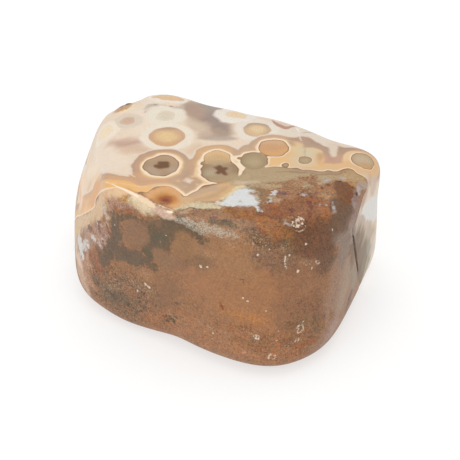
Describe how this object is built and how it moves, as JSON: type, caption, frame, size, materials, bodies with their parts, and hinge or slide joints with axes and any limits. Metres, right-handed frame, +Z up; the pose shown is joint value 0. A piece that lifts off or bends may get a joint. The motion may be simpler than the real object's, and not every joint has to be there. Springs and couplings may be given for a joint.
{
  "type": "tumbled ocean jasper",
  "caption": "Blunt, polished jasper pebble with ringed orbs on a pale top and a rusty brown front, lying on its flattest worn side.",
  "frame": {"origin": "on the surface that the stone lies on, in the middle of the stone's box", "axes": "+X to the right in the picture, along the longest extent; +Y away from the viewer; +Z up, along the shortest extent"},
  "size_m": [0.0607, 0.056, 0.0314],
  "materials": {
    "jasper": "tumble-polished orbicular jasper: cream and golden banded agate with ringed orbs on top, rusty brown with mossy grey patches on the front, white quartz between them"
  },
  "bodies": {
    "root": {"stone": "jasper"}
  },
  "joints": []
}
